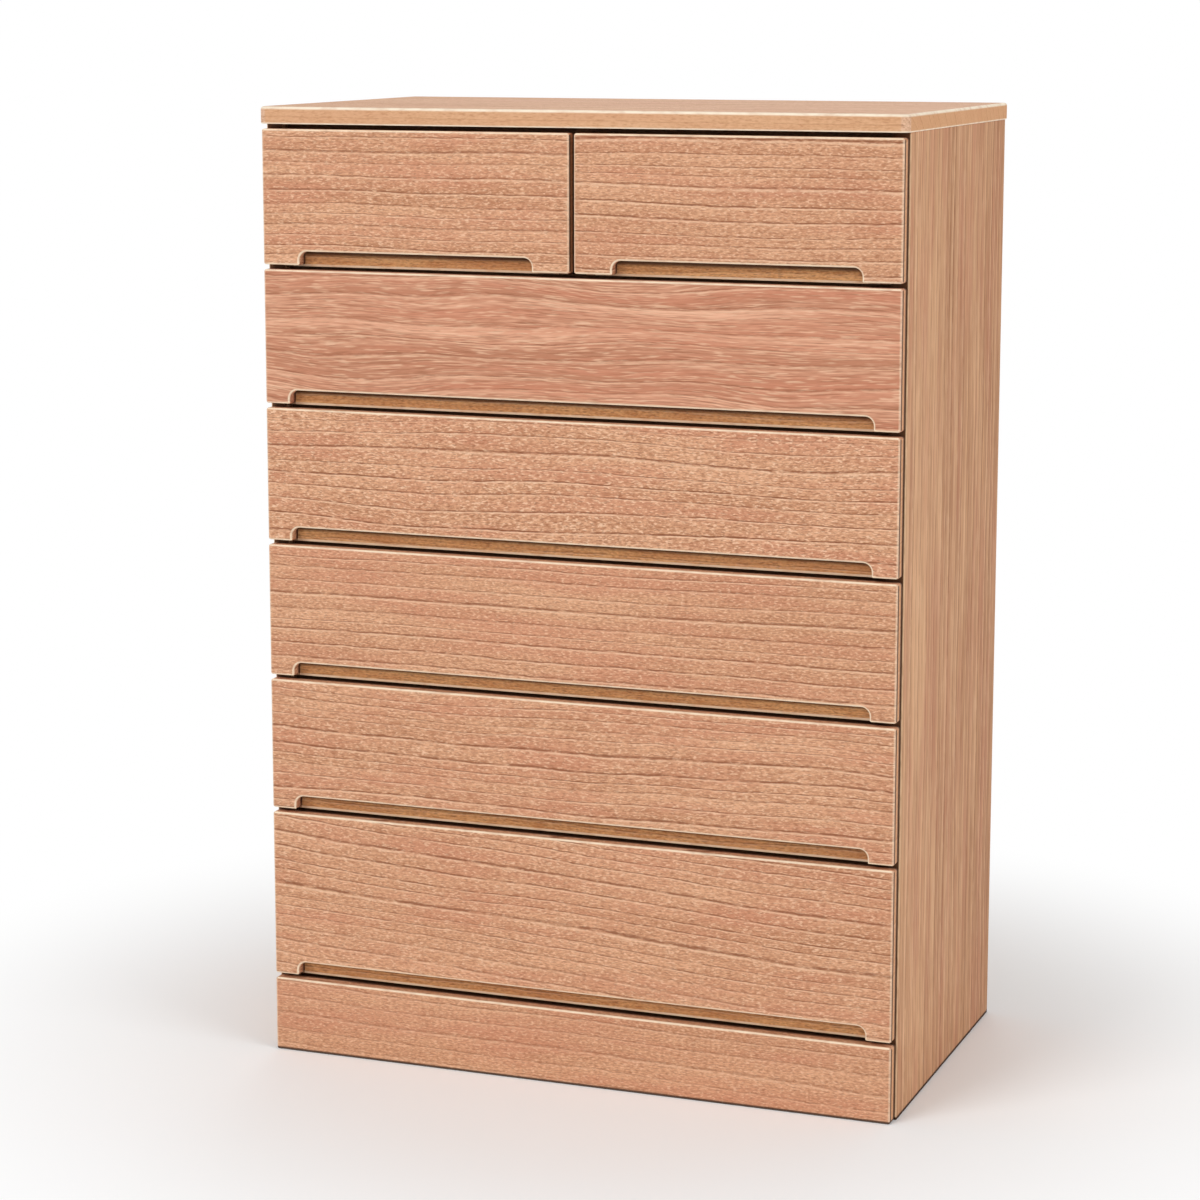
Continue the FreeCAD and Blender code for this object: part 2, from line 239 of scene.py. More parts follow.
# A full painted highlight on its eased edges, the ends included.
TOP_KIRI = KiriFinish(
    "top_kiri", pale=(236, 196, 164), warm=(206, 160, 128), red=(218, 166, 142),
    end=(214, 158, 110), cream=(255, 240, 216), lines=0.8, flecks=0.25, patches=1.2, edges=1.0,
    end_edges=1.0, flank=0.55, roughness=0.7, gloss=0.08,
)
# Darkened as painted shade for the rails, bottom board and rear plinth, seen through the gaps
# between the fronts.
CARCASS_KIRI = KiriFinish(
    "carcass_kiri", pale=(132, 92, 62), warm=(100, 66, 42), red=(112, 70, 46),
    fleck=(150, 110, 78), cream=(168, 130, 96), lines=0.35, flecks=0.2, pores=0.2, edges=0.4,
)
# Darker still: painted shade for the partition seen in the gap between the two small drawers.
PARTITION_KIRI = replace(
    CARCASS_KIRI, pale=(72, 46, 31), warm=(52, 32, 20), red=(60, 36, 23), fleck=(84, 58, 40),
    cream=(92, 66, 46),
)
RUNNER_KIRI = KiriFinish("runner_kiri", pale=(214, 174, 136), warm=(190, 146, 108), lines=0.3)
# A painted highlight along its lower edge and painted shade under the pull's lip.
BOX_FRONT_KIRI = KiriFinish(
    "box_front_kiri", pale=(252, 196, 134), warm=(214, 148, 92), red=(214, 142, 90), lines=0.5,
    streaks=2.2, flecks=0.15, edges=1.0, rim=1.0, lip_shade=0.9,
)
BOX_KIRI = KiriFinish(
    "drawer_box_kiri", pale=(224, 190, 154), warm=(202, 162, 124), lines=0.35, edges=0.4
)
BOTTOM_KIRI = KiriFinish(
    "drawer_bottom_kiri", pale=(226, 194, 160), warm=(206, 170, 134), lines=0.25
)
BACK_KIRI = KiriFinish(
    "back_kiri", pale=(222, 184, 146), warm=(190, 146, 108), red=(204, 152, 120), lines=0.22,
    streaks=1.8, speckle=0.8, flecks=0.2, pores=0.3, redness=0.4, edges=0.5, gloss=0.1,
    fibre_stretch=(5.0, 1.8, 1.8), stave_width=180 * MM, stave_tone=0.3,
)
SCREW_STEEL = SteelFinish()


class Cell(Enum):
    """The cells of each noise: length along the grain, width across it, and the noise's detail."""

    FLOW = (300 * MM, 110 * MM, 1.0)
    RIPPLE = (20 * MM, 7 * MM, 3.0)
    BREAK = (14 * MM, 4 * MM, 2.0)
    STREAK = (30 * MM, 1.7 * MM, 4.0)
    SPECKLE = (4.2 * MM, 1.8 * MM, 1.0)
    PORE = (7 * MM, 1.3 * MM, 2.0)
    FLECK = (4.5 * MM, 1.5 * MM, 1.0)
    WARMTH = (250 * MM, 28 * MM, 2.0)
    REDNESS = (160 * MM, 24 * MM, 2.0)
    HIGHLIGHT_BREAK = (20 * MM, 8 * MM, 2.0)
    SCRATCH = (0.2 * MM, 2 * MM, 2.0)


class Wiring:
    """Adds nodes to one node tree and joins them. Most methods return a new node's output."""

    def __init__(self, tree: Tree) -> None:
        """Work on one tree."""
        self.tree = tree

    def feed(self, socket: Socket, value: Value) -> None:
        """Link another node's output to an input, or set the input's own value.

        Args:
            socket: the input.
            value: the output or the value.
        """
        if isinstance(value, Socket):
            self.tree.links.new(value, socket)
        else:
            socket.default_value = value

    def fill(self, node: Node, values: dict[str, Value]) -> Node:
        """Feed a node's inputs by their names.

        Args:
            node: the node.
            values: what each named input gets.

        Returns:
            The same node.
        """
        for name, value in values.items():
            self.feed(node.inputs[name], value)
        return node

    def node(self, kind: str, *values: Value, **settings: object) -> Node:
        """Add a node.

        Args:
            kind: its type.
            values: what its first inputs get, in order.
            settings: its settings by name.

        Returns:
            The node.
        """
        made = self.tree.nodes.new(kind)
        for name, value in settings.items():
            setattr(made, name, value)
        for socket, value in zip(made.inputs, values):
            self.feed(socket, value)
        return made

    def here(self) -> Socket:
        """The place in the chest's own frame."""
        return self.node("ShaderNodeTexCoord").outputs["Object"]

    def math(self, operation: str, *values: Value) -> Socket:
        """Work out one number from up to three."""
        return self.node("ShaderNodeMath", *values, operation=operation).outputs[0]

    def minus(self, first: Value, second: Value) -> Socket:
        """Take the second number from the first."""
        return self.math("SUBTRACT", first, second)

    def times(self, first: Value, second: Value) -> Socket:
        """Multiply two numbers."""
        return self.math("MULTIPLY", first, second)

    def times_plus(self, first: Value, second: Value, third: Value) -> Socket:
        """Multiply two numbers and add a third."""
        return self.math("MULTIPLY_ADD", first, second, third)

    def to_joint(self, within: Value, width: Value) -> Socket:
        """How far a place within a ring or stave, from 0 to 1, is from its nearer end."""
        return self.times(self.math("MINIMUM", within, self.minus(1.0, within)), width)

    def vector(self, operation: str, *values: Value) -> Socket:
        """Work out one vector, or the length of one, from up to three."""
        made = self.node("ShaderNodeVectorMath", *values, operation=operation)
        return made.outputs["Value" if operation == "LENGTH" else "Vector"]

    def scaled(self, vector: Value, factor: Value) -> Socket:
        """Multiply a vector by a number."""
        made = self.node("ShaderNodeVectorMath", vector, operation="SCALE")
        return self.fill(made, {"Scale": factor}).outputs["Vector"]

    def part(self, vector: Value, axis: str) -> Socket:
        """Take one axis of a vector."""
        return self.node("ShaderNodeSeparateXYZ", vector).outputs[axis]

    def joined(self, *values: Value) -> Socket:
        """Make a vector of three numbers."""
        return self.node("ShaderNodeCombineXYZ", *values).outputs[0]

    def noise(self, place: Value, detail: float = 1.0) -> Socket:
        """Soft noise from 0 to 1 with cells one unit of the place wide."""
        values = {"Vector": place, "Scale": 1.0, "Detail": detail}
        return self.fill(self.node("ShaderNodeTexNoise"), values).outputs[0]

    def grain_noise(self, place: Value, cell: Cell) -> Socket:
        """Soft noise drawn out along the grain."""
        length, width, detail = cell.value
        return self.noise(self.vector("DIVIDE", place, (length, width, width)), detail)

    def chance(self, number: Value) -> Socket:
        """A random number from 0 to 1 for each number."""
        made = self.node("ShaderNodeTexWhiteNoise", noise_dimensions="1D")
        return self.fill(made, {"W": number}).outputs["Value"]

    def span(self, *values: Value) -> Socket:
        """Carry a value smoothly from one span to another, or to 0 to 1, held at both ends."""
        return self.node("ShaderNodeMapRange", *values, interpolation_type="SMOOTHSTEP").outputs[0]

    def fade(self, value: Value, low: Value, high: Value) -> Socket:
        """Give 1 below the low end of a span and 0 above its high end, smooth between."""
        return self.span(value, low, high, 1.0, 0.0)

    def mix(self, share: Value, first: Value, second: Value) -> Socket:
        """Blend two colours, which are this node's sockets 6 and 7.

        Args:
            share: how much of the second colour there is, from 0 to 1.
            first: the first colour.
            second: the second colour.

        Returns:
            The blended colour.
        """
        made = self.node("ShaderNodeMix", share, data_type="RGBA", clamp_factor=True)
        self.feed(made.inputs[6], first)
        self.feed(made.inputs[7], second)
        return made.outputs[2]

    def effect(self, group: Tree, **values: Value) -> bpy.types.bpy_prop_collection:
        """Place an effect group with its inputs set and return its outputs."""
        return self.fill(self.node("ShaderNodeGroup", node_tree=group), values).outputs

    def bump(self, height: Value, strength: float, relief: float) -> Socket:
        """Make the normal of small relief from its height, its strength and its depth in metres."""
        values = {"Height": height, "Strength": strength, "Distance": relief}
        return self.fill(self.node("ShaderNodeBump"), values).outputs[0]

    def show(self, share: Value, first: Node, second: Node, output: str) -> None:
        """Send a blend of two shaders to the tree's output node."""
        made = self.node("ShaderNodeMixShader", share, first.outputs[0], second.outputs[0])
        self.feed(self.tree.nodes[output].inputs["Surface"], made.outputs[0])


class Effect(Wiring):
    """A shader node group under construction, with named inputs and outputs."""

    VECTORS = ("Place", "Pith", "Lean", "Stretch", "Half")

    def __init__(self, name: str, *inputs: str) -> None:
        """Start a group.

        Args:
            name: the group's name.
            inputs: the names of its inputs.
        """
        super().__init__(bpy.data.node_groups.new(name, "ShaderNodeTree"))
        for socket in inputs:
            self.add_socket(socket, "INPUT")
        self.given = self.node("NodeGroupInput").outputs

    def add_socket(self, name: str, way: str) -> None:
        """Give the group an input or an output: a vector where VECTORS names it, else a number."""
        kind = "NodeSocketVector" if name in self.VECTORS else "NodeSocketFloat"
        self.tree.interface.new_socket(name=name, in_out=way, socket_type=kind)

    def put_out(self, **values: Value) -> Tree:
        """Join values to new outputs.

        Args:
            values: what each named output puts out.

        Returns:
            The finished group.
        """
        for name in values:
            self.add_socket(name, "OUTPUT")
        self.fill(self.node("NodeGroupOutput"), values)
        return self.tree

    def shifted(self, way: Triple) -> Socket:
        """Move the given place along a way, further for each seed."""
        return self.vector("ADD", self.given["Place"], self.scaled(way, self.given["Seed"]))

    def stretched(self, way: Triple) -> Socket:
        """Move the given place and divide it by the given stretch."""
        return self.vector("DIVIDE", self.shifted(way), self.given["Stretch"])


def grain_flow() -> Tree:
    """Make the effect of wavy grain: slow noise moves the pattern across the board.

    place' = place + (0, gain swing (noise - 1/2), 0), and rings, fibres and colours all follow.

    Returns:
        The effect's node group.
    """
    flow = Effect("grain_flow", "Place", "Swing", "Seed")
    slow = flow.grain_noise(flow.shifted(LOG_WAY), Cell.FLOW)
    push = flow.times(flow.minus(slow, 0.5), flow.given["Swing"])
    across = flow.joined(0.0, flow.times(push, NOISE_GAIN), 0.0)
    return flow.put_out(Place=flow.vector("ADD", flow.given["Place"], across))


def growth_rings() -> Tree:
    """Make the effect of a log's growth rings on a board.

    Distance from the pith, made uneven by a fine ripple, is divided by the ring spacing. Noise
    over SLOW_RINGS rings moves the count by up to RING_DRIFT, so that some rings lie closer. The
    whole part numbers the ring, and gives each a strength of its own. The rest is the place
    within the ring: a thin dark line lies where it wraps round, a light one just after it, and
    the wood darkens towards it.

    Returns:
        The effect's node group.
    """
    rings = Effect("growth_rings", "Place", "Pith", "Lean", "Spacing", "Ripple", "Width", "Seed")
    given = rings.given
    place, spacing, width = given["Place"], given["Spacing"], given["Width"]
    moved = rings.shifted(LOG_WAY)
    drift = rings.scaled(given["Lean"], rings.part(place, "X"))
    offset = rings.vector("SUBTRACT", rings.vector("SUBTRACT", place, given["Pith"]), drift)
    distance = rings.vector("LENGTH", rings.vector("MULTIPLY", offset, (0, 1, 1)))
    ripple = rings.minus(rings.grain_noise(moved, Cell.RIPPLE), 0.5)
    distance = rings.times_plus(rings.times(ripple, given["Ripple"]), NOISE_GAIN, distance)
    count = rings.math("DIVIDE", distance, spacing)
    slow = rings.math("DIVIDE", count, SLOW_RINGS)
    uneven = rings.noise(rings.joined(slow, given["Seed"], 0.0))
    count = rings.math("ADD", count, rings.times(uneven, RING_DRIFT))
    within = rings.math("FRACT", count)
    ring = rings.math("ADD", rings.math("FLOOR", count), rings.times(given["Seed"], 31.7))
    strength = rings.chance(ring)
    thin = rings.fade(rings.to_joint(within, spacing), rings.times(width, 0.12), width)
    past = rings.math("DIVIDE", rings.times(within, spacing), width)
    light = rings.times(rings.span(past, 0.6, 1.1), rings.fade(past, 1.4, 2.4))
    broken = rings.span(rings.grain_noise(moved, Cell.BREAK), 0.32, 0.56, 0.25, 1.0)
    shown = rings.times(broken, rings.span(strength, 0.0, 0.7, 0.35, 1.0))
    return rings.put_out(
        Line=rings.times(thin, shown),
        Light=rings.times(light, shown),
        Tone=rings.times_plus(within, 0.5, rings.times(strength, 0.5)),
    )


def fibres() -> Tree:
    """Make the effect of the wood's fibres: streaks, speckle, pores and bright flecks.

    All are noise drawn out along the grain. Pores and flecks are where it is strongest. The bright
    flecks are partly the wood's own figure and partly a painted sheen.

    Returns:
        The effect's node group.
    """
    wood = Effect("fibres", "Place", "Stretch", "Seed")
    moved = wood.stretched((0.31, 0.77, 1.61))
    return wood.put_out(
        Streak=wood.grain_noise(moved, Cell.STREAK),
        Speckle=wood.grain_noise(moved, Cell.SPECKLE),
        Pore=wood.span(wood.grain_noise(moved, Cell.PORE), 0.54, 0.68),
        Fleck=wood.span(wood.grain_noise(moved, Cell.FLECK), 0.53, 0.7),
    )


def patches() -> Tree:
    """Make the effect of slow changes of colour along a board: two soft noises.

    Returns:
        The effect's node group.
    """
    patch = Effect("patches", "Place", "Stretch", "Seed")
    moved = patch.stretched((1.9, 0.53, 0.29))
    redness = patch.grain_noise(patch.vector("ADD", moved, (3.1, 7.7, 5.3)), Cell.REDNESS)
    warmth = patch.grain_noise(moved, Cell.WARMTH)
    return patch.put_out(Warmth=warmth, Redness=patch.span(redness, 0.4, 0.72))


def staves() -> Tree:
    """Make the effect of a panel glued up from narrow boards.

    The place across the panel, divided by the width of a stave, numbers the staves. Each moves
    the pattern to another part of the log, has a tone of its own and ends in a fine joint.

    Returns:
        The effect's node group.
    """
    panel = Effect("staves", "Place", "Width", "Seed")
    given = panel.given
    across = panel.math("DIVIDE", panel.part(given["Place"], "Y"), given["Width"])
    across = panel.math("ADD", across, panel.times(given["Seed"], 0.37))
    tone = panel.chance(panel.math("ADD", panel.math("FLOOR", across), given["Seed"]))
    shift = panel.joined(panel.times(tone, 3.7), panel.times(tone, 0.05), 0.0)
    gap = panel.to_joint(panel.math("FRACT", across), given["Width"])
    return panel.put_out(
        Place=panel.vector("ADD", given["Place"], shift),
        Tone=tone,
        Joint=panel.fade(gap, 0.15 * MM, 0.6 * MM),
    )


def painted_light_and_ends() -> Tree:
    """Make the effect of painted highlights on eased edges, of sawn ends, and of painted shade.

    Half holds half the board's length, width and depth. A painted highlight shows where the mesh
    marks an edge as eased and, as far as Rim says, as a band near half the width. Noise along it
    makes it uneven, and Ends says how much of it stays near half the length. An end shows beyond
    half the length and a flank beyond half the width. Painted shade for the gaps between pieces
    is a dark strip before the board's back face, and a narrow one behind the front face of an
    end. Painted shade under a pull's lip lies away from half the width, and a painted contact
    shadow lies just above the floor.

    Returns:
        The effect's node group.
    """
    light_and_ends = Effect("painted_light_and_ends", "Place", "Arris", "Rim", "Ends", "Half", "Height")
    given = light_and_ends.given
    place, half = given["Place"], given["Half"]
    beyond = light_and_ends.vector("SUBTRACT", light_and_ends.vector("ABSOLUTE", place), half)
    along, across = light_and_ends.part(beyond, "X"), light_and_ends.part(beyond, "Y")
    proud, half_depth = light_and_ends.part(place, "Z"), light_and_ends.part(half, "Z")
    flank = light_and_ends.span(across, -0.4 * MM, 0.0)
    # Rim: a painted highlight band near half the width.
    rim = light_and_ends.minus(light_and_ends.span(across, -2.9 * MM, -1.9 * MM), flank)
    rim = light_and_ends.times(rim, given["Rim"])
    # The painted highlight on eased edges.
    edge = light_and_ends.math("MAXIMUM", light_and_ends.span(given["Arris"], 0.2, 0.9), rim)
    uneven = light_and_ends.span(light_and_ends.grain_noise(place, Cell.HIGHLIGHT_BREAK), 0.3, 0.6, 0.6, 1.0)
    kept = light_and_ends.span(along, -2.4 * MM, -1.4 * MM, 1.0, given["Ends"])
    end = light_and_ends.span(along, -0.4 * MM, 0.0)
    # Painted shade for the gaps: a narrow strip behind the front face of an end, and a strip before
    # the back face.
    behind = light_and_ends.span(light_and_ends.minus(half_depth, proud), 4.0 * MM, 5.8 * MM, 0.95, 0.0)
    seam = light_and_ends.fade(light_and_ends.math("ADD", proud, half_depth), 2.5 * MM, 7.0 * MM)
    return light_and_ends.put_out(
        Edge=light_and_ends.times(light_and_ends.times(edge, uneven), kept),
        End=end,
        Flank=flank,
        Seam=light_and_ends.math("MAXIMUM", seam, light_and_ends.times(end, behind)),
        # Painted shade under a pull's lip.
        Handled=light_and_ends.fade(across, -14 * MM, -9.5 * MM),
        # A painted contact shadow just above the floor.
        Foot=light_and_ends.fade(given["Height"], 2.2 * MM, 3.8 * MM),
    )


class Workshop:
    """Holds the shared effects and makes the materials from them."""

    def __init__(self) -> None:
        """Build each effect once."""
        makers = (grain_flow, growth_rings, fibres, patches, staves, painted_light_and_ends)
        self.effects = {maker.__name__: maker() for maker in makers}

    @staticmethod
    def blank(name: str) -> tuple[bpy.types.Material, Wiring, Node]:
        """Start a material.

        Args:
            name: the material's name.

        Returns:
            The material, its wiring and its Principled shader.
        """
        material = bpy.data.materials.new(name)
        material.use_nodes = True
        wiring = Wiring(material.node_tree)
        return material, wiring, material.node_tree.nodes["Principled BSDF"]

    @staticmethod
    def board_place(wiring: Wiring, cut: Cut) -> Socket:
        """Give a point's place in the board's own directions, from the board's middle.

        Args:
            wiring: the material's wiring.
            cut: how the board lies.

        Returns:
            The place.
        """
        mapping = wiring.node("ShaderNodeMapping", vector_type="TEXTURE")
        values = {"Location": cut.centre, "Rotation": cut.lie.turn(), "Vector": wiring.here()}
        return wiring.fill(mapping, values).outputs[0]

    def kiri(self, name: str, finish: KiriFinish, cut: Cut) -> bpy.types.Material:
        """Make a paulownia material for one board.

        Args:
            name: the material's name.
            finish: its colours and relief.
            cut: how the board was sawn from the log.

        Returns:
            The material.
        """
        material, wiring, shader = self.blank(name)
        effects, seed = self.effects, cut.seed
        place = self.board_place(wiring, cut)
        stave = wiring.effect(effects["staves"], Place=place, Width=finish.stave_width, Seed=seed)
        flow = wiring.effect(
            effects["grain_flow"], Place=stave["Place"], Swing=cut.swing, Seed=seed
        )
        rings = wiring.effect(
            effects["growth_rings"],
            Place=flow["Place"],
            Pith=(0.0, *cut.pith),
            Lean=(0.0, *cut.lean),
            Spacing=cut.spacing,
            Ripple=cut.ripple,
            Width=cut.line_width,
            Seed=seed,
        )
        stretches = {"fibres": finish.fibre_stretch, "patches": finish.patch_stretch}
        fibre, patch = (
            wiring.effect(effects[kind], Place=flow["Place"], Stretch=stretch, Seed=seed)
            for kind, stretch in stretches.items()
        )
        light_and_ends = wiring.effect(
            effects["painted_light_and_ends"],
            Place=place,
            Arris=wiring.node("ShaderNodeAttribute", attribute_name=ARRIS).outputs["Fac"],
            Rim=finish.rim,
            Ends=finish.end_edges,
            Half=(cut.half_length, cut.half_width, cut.half_depth),
            Height=wiring.part(wiring.here(), "Z"),
        )

        warmth = wiring.times_plus(wiring.part(place, "Y"), cut.fade, 0.5 + cut.tone)
        for value, strength in (
            (rings["Tone"], finish.ring_tone),
            (fibre["Streak"], finish.streaks),
            (fibre["Speckle"], finish.speckle),
            (patch["Warmth"], finish.patches),
            (stave["Tone"], finish.stave_tone),
        ):
            warmth = wiring.times_plus(wiring.minus(value, 0.5), strength, warmth)
        colour = wiring.mix(warmth, linear(finish.pale), linear(finish.warm))
        for mask, strength, paint in (
            (patch["Redness"], finish.redness, finish.red),
            # bright flecks: partly the wood's figure, partly a painted sheen
            (fibre["Fleck"], finish.flecks, finish.fleck),
            (fibre["Pore"], finish.pores, finish.pore),
            (rings["Light"], finish.light_lines * finish.lines, finish.fleck),
            (rings["Line"], finish.lines, finish.line),
            (stave["Joint"], finish.stave_tone, finish.line),
            (light_and_ends["End"], finish.ends, finish.end),
            # flank: on the side panels, painted shade behind the drawer fronts
            (light_and_ends["Flank"], finish.flank, finish.end),
            # painted shade under a pull's lip
            (light_and_ends["Handled"], finish.lip_shade, LIP_SHADE),
            # painted highlight on the eased edges
            (light_and_ends["Edge"], finish.edges, finish.cream),
            # painted shade in the gaps between pieces
            (light_and_ends["Seam"], finish.seam, PAINTED_SHADE),
            # painted contact shadow just above the floor
            (light_and_ends["Foot"], finish.foot_shade, PAINTED_SHADE),
        ):
            colour = wiring.mix(wiring.times(mask, strength), colour, linear(paint))
        smooth = finish.roughness - finish.rough_streak / 2
        rough = wiring.times_plus(fibre["Streak"], finish.rough_streak, smooth)
        rough = wiring.times_plus(rings["Line"], finish.rough_line, rough)
        height = wiring.times(fibre["Streak"], 0.7)
        for mask, depth in ((fibre["Fleck"], 0.25), (fibre["Pore"], -0.45), (rings["Line"], -0.5)):
            height = wiring.times_plus(mask, depth, height)
        wiring.fill(shader, {
            "Base Color": colour,
            "Specular IOR Level": finish.gloss,
            "Roughness": rough,
            "Normal": wiring.bump(height, finish.bump, finish.relief),
        })
        return material

    def steel(self, finish: SteelFinish) -> bpy.types.Material:
        """Make the plated steel of the screws, with dull blotches and fine scratches.

        Args:
            finish: its colours and relief.

        Returns:
            The material.
        """
        material, wiring, shader = self.blank(finish.name)
        place = wiring.here()
        blotch = wiring.noise(wiring.scaled(place, finish.blotches), detail=3.0)
        share = wiring.span(blotch, 0.35, 0.65)
        scratch = wiring.grain_noise(place, Cell.SCRATCH)
        wiring.fill(shader, {
            "Base Color": wiring.mix(share, linear(finish.bright), linear(finish.dull)),
            "Roughness": wiring.times_plus(share, finish.rough_blotch, finish.roughness),
            "Metallic": 1.0,
            "Normal": wiring.bump(scratch, finish.bump, finish.relief),
        })
        return material


@dataclass(frozen=True)
class Corner:
    """A square corner of a board's outline: its place in the board's plane and its rounding."""

    across: float
    up: float
    radius: float


def outline(corners: Sequence[Corner], inset: float, steps: int) -> Array:
    """Work out an outline with round corners, moved inwards all round.

    With n1 and n2 the inward normals of the edges before and after a corner, the inset moves the
    corner by inset * (n1 + n2). A corner that points outwards turns about a centre one radius
    further in, point(t) = centre - radius * (n1 cos t + n2 sin t) with t from 0 to a quarter turn,
    and its radius shrinks by the inset. One that points inwards has the signs changed over.

    Args:
        corners: the corners, anticlockwise, with every edge along one of the two directions.
        inset: how far the outline moves inwards.
        steps: how many straight pieces make one corner's arc.

    Returns:
        The points, one row each: across and up.
    """
    place = np.array([(corner.across, corner.up) for corner in corners])
    radius = np.array([corner.radius for corner in corners])
    after = np.roll(place, -1, axis=0) - place
    after /= np.linalg.norm(after, axis=1, keepdims=True)
    before = np.roll(after, 1, axis=0)
    inward_after = np.stack([-after[:, 1], after[:, 0]], axis=1)
    inward_before = np.roll(inward_after, 1, axis=0)
    turn = np.sign(before[:, 0] * after[:, 1] - before[:, 1] * after[:, 0])
    both = inward_before + inward_after
    radius = turn * np.maximum(radius - turn * inset, LEAST_RADIUS)
    centre = place + (inset + radius)[:, None] * both
    angle = np.linspace(0, QUARTER_TURN, steps + 1)[None, :, None]
    arc = np.cos(angle) * inward_before[:, None] + np.sin(angle) * inward_after[:, None]
    return (centre[:, None] - radius[:, None, None] * arc).reshape(-1, 2)


class Plane(Enum):
    """Which axes an outline's across and up run along, and which one it is carried along."""

    FRONT = (0, 2, 1)
    FLAT = (0, 1, 2)


@dataclass(frozen=True)
class Section:
    """One ring of a board: an outline, how far it is moved inwards, and where it lies."""

    corners: Sequence[Corner]
    inset: float
    depth: float
    arris: float = 0.0


def rectangle(box: Box, plane: Plane, low: float, high: float) -> list[Corner]:
    """List the corners of a box's outline.

    Args:
        box: the box.
        plane: the axes of the outline.
        low: the rounding of the two corners on the low side.
        high: the rounding of the other two.

    Returns:
        The four corners, anticlockwise from the low left one.
    """
    across, up, _ = plane.value
    return [
        Corner(box.low[across], box.low[up], low),
        Corner(box.high[across], box.low[up], low),
        Corner(box.high[across], box.high[up], high),
        Corner(box.low[across], box.high[up], high),
    ]


def strips(number: Array) -> Array:
    """Join rows of numbered points by rings of four-sided faces.

    A face is (row, column), (row, column + 1), (row + 1, column + 1), (row + 1, column), and the
    last column joins on to the first.

    Args:
        number: the points' numbers, one row for each ring.

    Returns:
        The faces, by row and column.
    """
    onward = np.roll(number, -1, axis=1)
    return np.stack([number[:-1], onward[:-1], onward[1:], number[1:]], axis=-1)


def eased_end(corners: Sequence[Corner], face: float, into: float, radius: float,
              steps: int = 5, fade: float = 1.2 * MM) -> list[Section]:
    """Carry an outline round an eased edge and onto the face.

    The edge is a quarter circle: inset = radius (1 - cos a), distance from the face
    = radius (1 - sin a), with a from 0 to a quarter turn. The edge's mark, which sets its painted
    highlight, is 0.4 + 0.6 sin 2a, brightest halfway round. One more ring on the wall and one on
    the face let the mark of the edge fade out.

    Args:
        corners: the board's outline.
        face: where the face lies along the thickness.
        into: +1 or -1, the direction from the face into the board.
        radius: the edge's rounding.
        steps: how many rings follow the first.
        fade: how far onto the wall and the face the mark fades.

    Returns:
        The rings, from the wall to the face.
    """
    angles = np.linspace(0, QUARTER_TURN, steps + 1)
    rings = [
        Section(
            corners,
            radius * (1 - math.cos(a)),
            face + into * radius * (1 - math.sin(a)),
            0.4 + 0.6 * math.sin(2 * a),
        )
        for a in angles
    ]
    start = Section(corners, 0.0, face + into * (radius + fade))
    return [start, *rings, Section(corners, radius + fade, face)]


def board_surface(sections: Sequence[Section], plane: Plane, steps: int) -> tuple[Array, ...]:
    """Carry an outline through a board's thickness.

    The surface is S(u, v) = outline(u, inset(v)) at depth(v): u runs round the outline and v over
    the sections. Both ends are closed by one face.

    Args:
        sections: the rings, from one face to the other.
        plane: the axes of the outline.
        steps: how many straight pieces make one corner's arc.

    Returns:
        The points, the four-sided faces, the two end faces and each point's mark as an edge.
    """
    rings = np.stack([outline(s.corners, s.inset, steps) for s in sections])
    count, length = rings.shape[:2]
    points = np.empty((count, length, 3))
    across, up, through = plane.value
    points[..., across] = rings[..., 0]
    points[..., up] = rings[..., 1]
    points[..., through] = np.array([s.depth for s in sections])[:, None]
    number = np.arange(count * length).reshape(count, length)
    ends = np.stack([number[0, ::-1], number[-1]])
    marks = np.repeat([s.arris for s in sections], length)
    return points.reshape(-1, 3), strips(number).reshape(-1, 4), ends, marks


def stand(name: str, data: bpy.types.ID) -> bpy.types.Object:
    """Make an object of a mesh, lamp or camera and put it into the scene.

    Args:
        name: the object's name.
        data: the mesh, lamp or camera.

    Returns:
        The object.
    """
    made = bpy.data.objects.new(name, data)
    bpy.context.scene.collection.objects.link(made)
    return made


